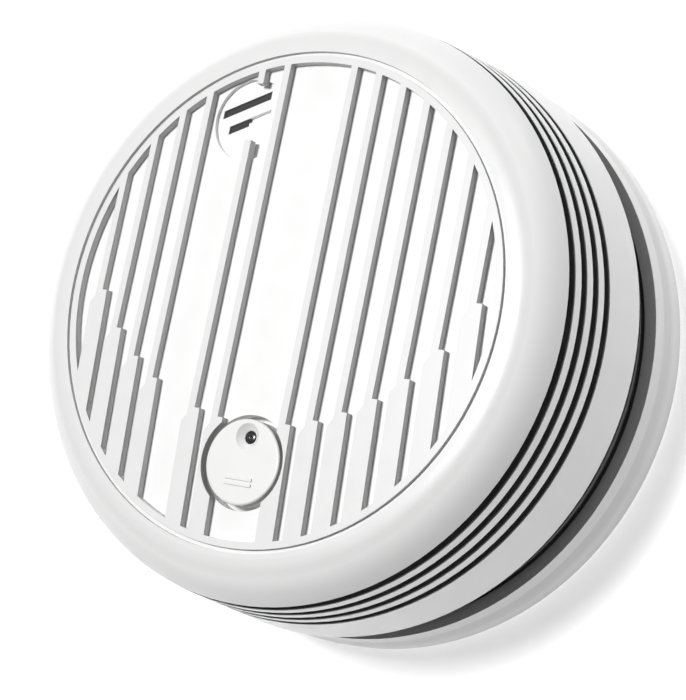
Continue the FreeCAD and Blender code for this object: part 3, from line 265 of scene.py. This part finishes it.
def wound(name):
    """Ferrite drum with copper wire wound round it."""
    shader = Shader(name)
    shader.set(Roughness=0.45)
    turns = shader.node("ShaderNodeTexWave", wave_type="BANDS", bands_direction="Z")
    turns.inputs["Scale"].default_value = 700.0
    shader.link(shader.place, turns.inputs["Vector"])
    tone = shader.blend(turns.outputs["Fac"], (0.16, 0.05, 0.015), (0.5, 0.2, 0.07))
    return shader.finish(tone, None, shader.bump(turns.outputs["Fac"], 1e-4, 0.8))


MM = 0.001
WHITE = (0.92, 0.92, 0.917)
FACE_TOP = cad_high.z
# Levels and strength of the painted shade on rib tops and rib walls
RIB_FOOT, RIB_TOP = FACE_TOP - 0.8 * MM, FACE_TOP - 0.3 * MM
WALL_FOOT, WALL_FADE, PAINTED_WALL_SHADE = FACE_TOP - 1.6 * MM, 0.1 * MM, 0.6
finishes = {
    # cover: painted shade on its rib tops and rib walls
    "white_shell": moulded("shell_white", WHITE, 0.34, painted_top_shade=0.88),
    # rear housing: its dark grey is painted shade over the whole housing
    "grey_shell": moulded("shell_painted_shade", (0.055, 0.055, 0.057), 0.42),
    # button: painted shade on its rib tops and on the walls of its hole
    "white_button": moulded("button_white", (0.90, 0.90, 0.89), 0.36, painted_top_shade=0.96),
    "door_plastic": moulded("door_white", (0.88, 0.88, 0.87), 0.40),
    "dark_screen": woven("screen_black", (0.035, 0.035, 0.037)),
    "black_plastic": moulded("black_moulded", (0.012, 0.012, 0.012), 0.5),
    "switch_plastic": moulded("switch_black", (0.025, 0.025, 0.027), 0.45),
    "spring_steel": metal("wire_steel", (0.62, 0.62, 0.63), 0.25),
    "screw_steel": metal("screw_zinc", (0.66, 0.66, 0.64), 0.32, (1, 1, 3), 1500.0),
    "contact_metal": metal("strip_nickel", (0.7, 0.69, 0.65), 0.28),
    "lamp_red": moulded("lamp_red", (0.4, 0.012, 0.01), 0.15),
    "disc_brass": metal("disc_brass", (0.8, 0.58, 0.24), 0.3, (6, 1, 1)),
    "foam_black": foam("foam_black"),
    "cell_case": jacket("cell_jacket"),
    "board_green": board_finish("board_green"),
    "sensor_bead": moulded("bead_black", (0.02, 0.02, 0.022), 0.25),
    "can_aluminium": metal("can_aluminium", (0.75, 0.76, 0.78), 0.27),
    "resistor_body": moulded("resistor_lacquer", (0.55, 0.38, 0.2), 0.35),
    "coil_ferrite": wound("coil_copper"),
    "label_paper": paper("label_paper"),
}

for part in frame["record"]["subparts"]:
    node = nodes[part["node"]]
    node.data.materials.clear()
    node.data.materials.append(finishes[part["material_slot"]])
    for face in node.data.polygons:
        face.material_index = 0


# ---- pieces with more detail than the solids, and painted shade in the vent slots ------------

# black moulding for the gauze under the grille slots and for the painted shade of the vent ledges
BLACK_SCREEN_AND_SHADE = moulded("screen_and_painted_shade_black", (0.012, 0.012, 0.013), 0.5)


def mesh_piece(name, points, faces, material, body, slot, smooth=True):
    """A closed mesh that rides on a body and takes the material it is given."""
    mesh = bpy.data.meshes.new(name)
    mesh.from_pydata([Vector(point) * MM for point in points], [], faces)
    mesh.validate()
    mesh.materials.append(material)
    for polygon in mesh.polygons:
        polygon.use_smooth = smooth
    made = bpy.data.objects.new(name, mesh)
    scene.collection.objects.link(made)
    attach(made, body)
    return made


def lathe(section, centre=(0.0, 0.0), steps=256):
    """Points and faces of a closed section turned about an upright axis."""
    count = len(section)
    points = [(centre[0] + radius * math.cos(math.tau * step / steps),
               centre[1] + radius * math.sin(math.tau * step / steps), level)
              for step in range(steps) for radius, level in section]
    faces = []
    for step in range(steps):
        here, there = step * count, (step + 1) % steps * count
        for index in range(count):
            after = (index + 1) % count
            faces.append((here + index, there + index, there + after, here + after))
    return points, faces


def vent_ledges():
    """Black ledges that line the lower side of each vent slot, put there as painted shade in the
    slots.
    """
    skirt_radius, skirt_level = 53.15, 19.0
    rim_radius, rim_level = 50.4, 39.5
    flare = (skirt_radius - rim_radius) / (rim_level - skirt_level)
    slot_count, front_slot, pitch, half_slot = 4, 40.28, 3.54, 0.9
    lift, inset, depth, height, bevel = 0.02, 0.12, 1.3, 0.34, 0.1
    for index in range(slot_count):
        low = front_slot - pitch * index - half_slot + lift
        edge = skirt_radius - flare * (low - skirt_level) - inset
        section = [(edge - depth, low), (edge - bevel, low), (edge, low + 0.08),
                   (edge, low + height - 0.08), (edge - bevel, low + height),
                   (edge - depth, low + height)]
        mesh_piece("vent_ledge_%d" % (index + 1), *lathe(section), BLACK_SCREEN_AND_SHADE, "head",
                   "dark_screen", smooth=False)


def lamp_lens():
    """Smoked lens at the foot of the conical dish in the button."""
    low, high = (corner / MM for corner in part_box("test_button"))
    mark_rise, dish_depth, lamp_offset = 0.18, 1.1, 4.2
    radius, thick, pinhole = 1.07, 0.8, 0.02
    top = high.z - mark_rise - dish_depth
    section = [(radius, top - thick), (radius, top - 0.25), (0.95, top - 0.15),
               (0.7, top - 0.06), (0.4, top - 0.02), (pinhole, top), (pinhole, top - thick)]
    centre = ((low.x + high.x) / 2, (low.y + high.y) / 2 + lamp_offset)
    mesh_piece("lamp_lens", *lathe(section, centre, 64), finishes["sensor_bead"], "button",
               "sensor_bead")


def grille_gauze():
    """Black gauze close under the two slots of the sounder grille."""
    middle_x, middle_y, rise, half = -12.6, 30.4, 0.42, 0.70
    low, thick = 43.75, 0.2
    for name, left, right, level in (("upper", -6.27, 2.77, 3.5), ("lower", -4.47, -0.63, 0.0)):
        corners = []
        for place, offset in ((left, -half), (right, -half), (right, half), (left, half)):
            corners.append((middle_x + place, middle_y + level + rise * place + offset))
        points = [(*corner, z) for z in (low, low + thick) for corner in corners]
        faces = [(3, 2, 1, 0), (4, 5, 6, 7)]
        faces += [(i, (i + 1) % 4, 4 + (i + 1) % 4, 4 + i) for i in range(4)]
        mesh_piece("grille_gauze_" + name, points, faces, BLACK_SCREEN_AND_SHADE, "head",
                   "dark_screen", smooth=False)


def coil_spring():
    """Round-wire spring between the retainer and the button's flange."""
    low, high = (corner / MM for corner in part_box("button_spring"))
    wire, turns, steps, around, travel = 0.25, 3, 48, 10, 1.2
    radius = (high.x - low.x) / 2 - wire
    middle = (0.5 * (low.x + high.x), 0.5 * (low.y + high.y))
    points, faces = [], []
    total = turns * steps
    for step in range(total + 1):
        turn = math.tau * step / steps
        level = low.z + wire + (high.z - low.z - 2 * wire) * step / total
        for spoke in range(around):
            bend = math.tau * spoke / around
            reach = radius + wire * math.cos(bend)
            points.append((middle[0] + reach * math.cos(turn), middle[1] + reach * math.sin(turn),
                           level + wire * math.sin(bend)))
    for step in range(total):
        for spoke in range(around):
            after = (spoke + 1) % around
            here, there = step * around, (step + 1) * around
            faces.append((here + spoke, there + spoke, there + after, here + after))
    faces.append(tuple(range(around)))
    faces.append(tuple(total * around + spoke for spoke in reversed(range(around))))
    made = mesh_piece("coil_spring", points, faces, finishes["spring_steel"], "head",
                      "spring_steel")
    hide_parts("button_spring")
    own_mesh(made)


vent_ledges()
lamp_lens()
grille_gauze()
coil_spring()


# ---- stage --------------------------------------------------------------------------------


def floor():
    shader = Shader("floor_pale")
    shader.set(Roughness=0.3)
    cloud = shader.noise(1.5, 2.0)
    shader.set(Emission_Color=(1, 1, 1, 1), Emission_Strength=0.5)
    material = shader.finish(shader.blend(cloud, (0.93, 0.93, 0.93), (0.95, 0.95, 0.95)))
    bpy.ops.mesh.primitive_plane_add(size=6.0, location=(0, 0, cad_low.z - 0.0002))
    sheet = bpy.context.object
    sheet.name = "floor"
    sheet.data.materials.append(material)


def area_light(name, place, target, size, power):
    data = bpy.data.lights.new(name, "AREA")
    data.shape = "DISK"
    data.size = size
    data.energy = power
    lamp = bpy.data.objects.new(name, data)
    scene.collection.objects.link(lamp)
    lamp.location = place
    lamp.rotation_mode = "QUATERNION"
    lamp.rotation_quaternion = (Vector(target) - Vector(place)).to_track_quat("-Z", "Y")


def studio():
    world = bpy.data.worlds.new("studio")
    scene.world = world
    world.use_nodes = True
    tree = world.node_tree
    background = tree.nodes["Background"]
    background.inputs["Color"].default_value = (1, 1, 1, 1)
    direction = tree.nodes.new("ShaderNodeTexCoord").outputs["Generated"]
    slant = tree.nodes.new("ShaderNodeVectorMath")
    slant.operation = "DOT_PRODUCT"
    slant.inputs[1].default_value = Vector((-0.10, 0.62, 0.78)).normalized()
    level = tree.nodes.new("ShaderNodeMapRange")
    level.interpolation_type = "SMOOTHSTEP"
    dark_side, bright_side, brightest = -0.5, 0.9, 0.16
    for name, value in (("From Min", dark_side), ("From Max", bright_side), ("To Min", 0.0),
                        ("To Max", brightest)):
        level.inputs[name].default_value = value
    tree.links.new(direction, slant.inputs[0])
    tree.links.new(slant.outputs["Value"], level.inputs["Value"])
    tree.links.new(level.outputs["Result"], background.inputs["Strength"])
    aim = (0, 0, 0.03)
    area_light("key", (-0.14, 0.10, 0.79), aim, size=0.18, power=5.5)
    area_light("side", (0.30, 0.65, 0.16), aim, size=0.25, power=0.5)


def camera():
    """Camera above the face, turned on its axis, aimed at the middle of the detector."""
    azimuth, elevation, roll = (math.radians(angle) for angle in (-14.3267, 57.2675, -66.5151))
    distance, aside, above = 0.29563, 0.000224, -0.003817
    back = Vector((math.cos(elevation) * math.cos(azimuth),
                   math.cos(elevation) * math.sin(azimuth), math.sin(elevation)))
    level = Vector((0, 0, 1)).cross(back).normalized()
    right = Matrix.Rotation(roll, 3, back) @ level
    up = back.cross(right)
    data = bpy.data.cameras.new("camera")
    data.lens = 86.83
    data.sensor_width = 36.0
    data.clip_start, data.clip_end = 0.01, 20.0
    made = bpy.data.objects.new("camera", data)
    scene.collection.objects.link(made)
    middle = (cad_low + cad_high) / 2
    place = middle + back * distance + right * aside + up * above
    turn = Matrix((right, up, back)).transposed().to_4x4()
    made.matrix_world = Matrix.Translation(place) @ turn
    scene.camera = made


floor()
studio()
camera()
scene.view_settings.view_transform = "Standard"
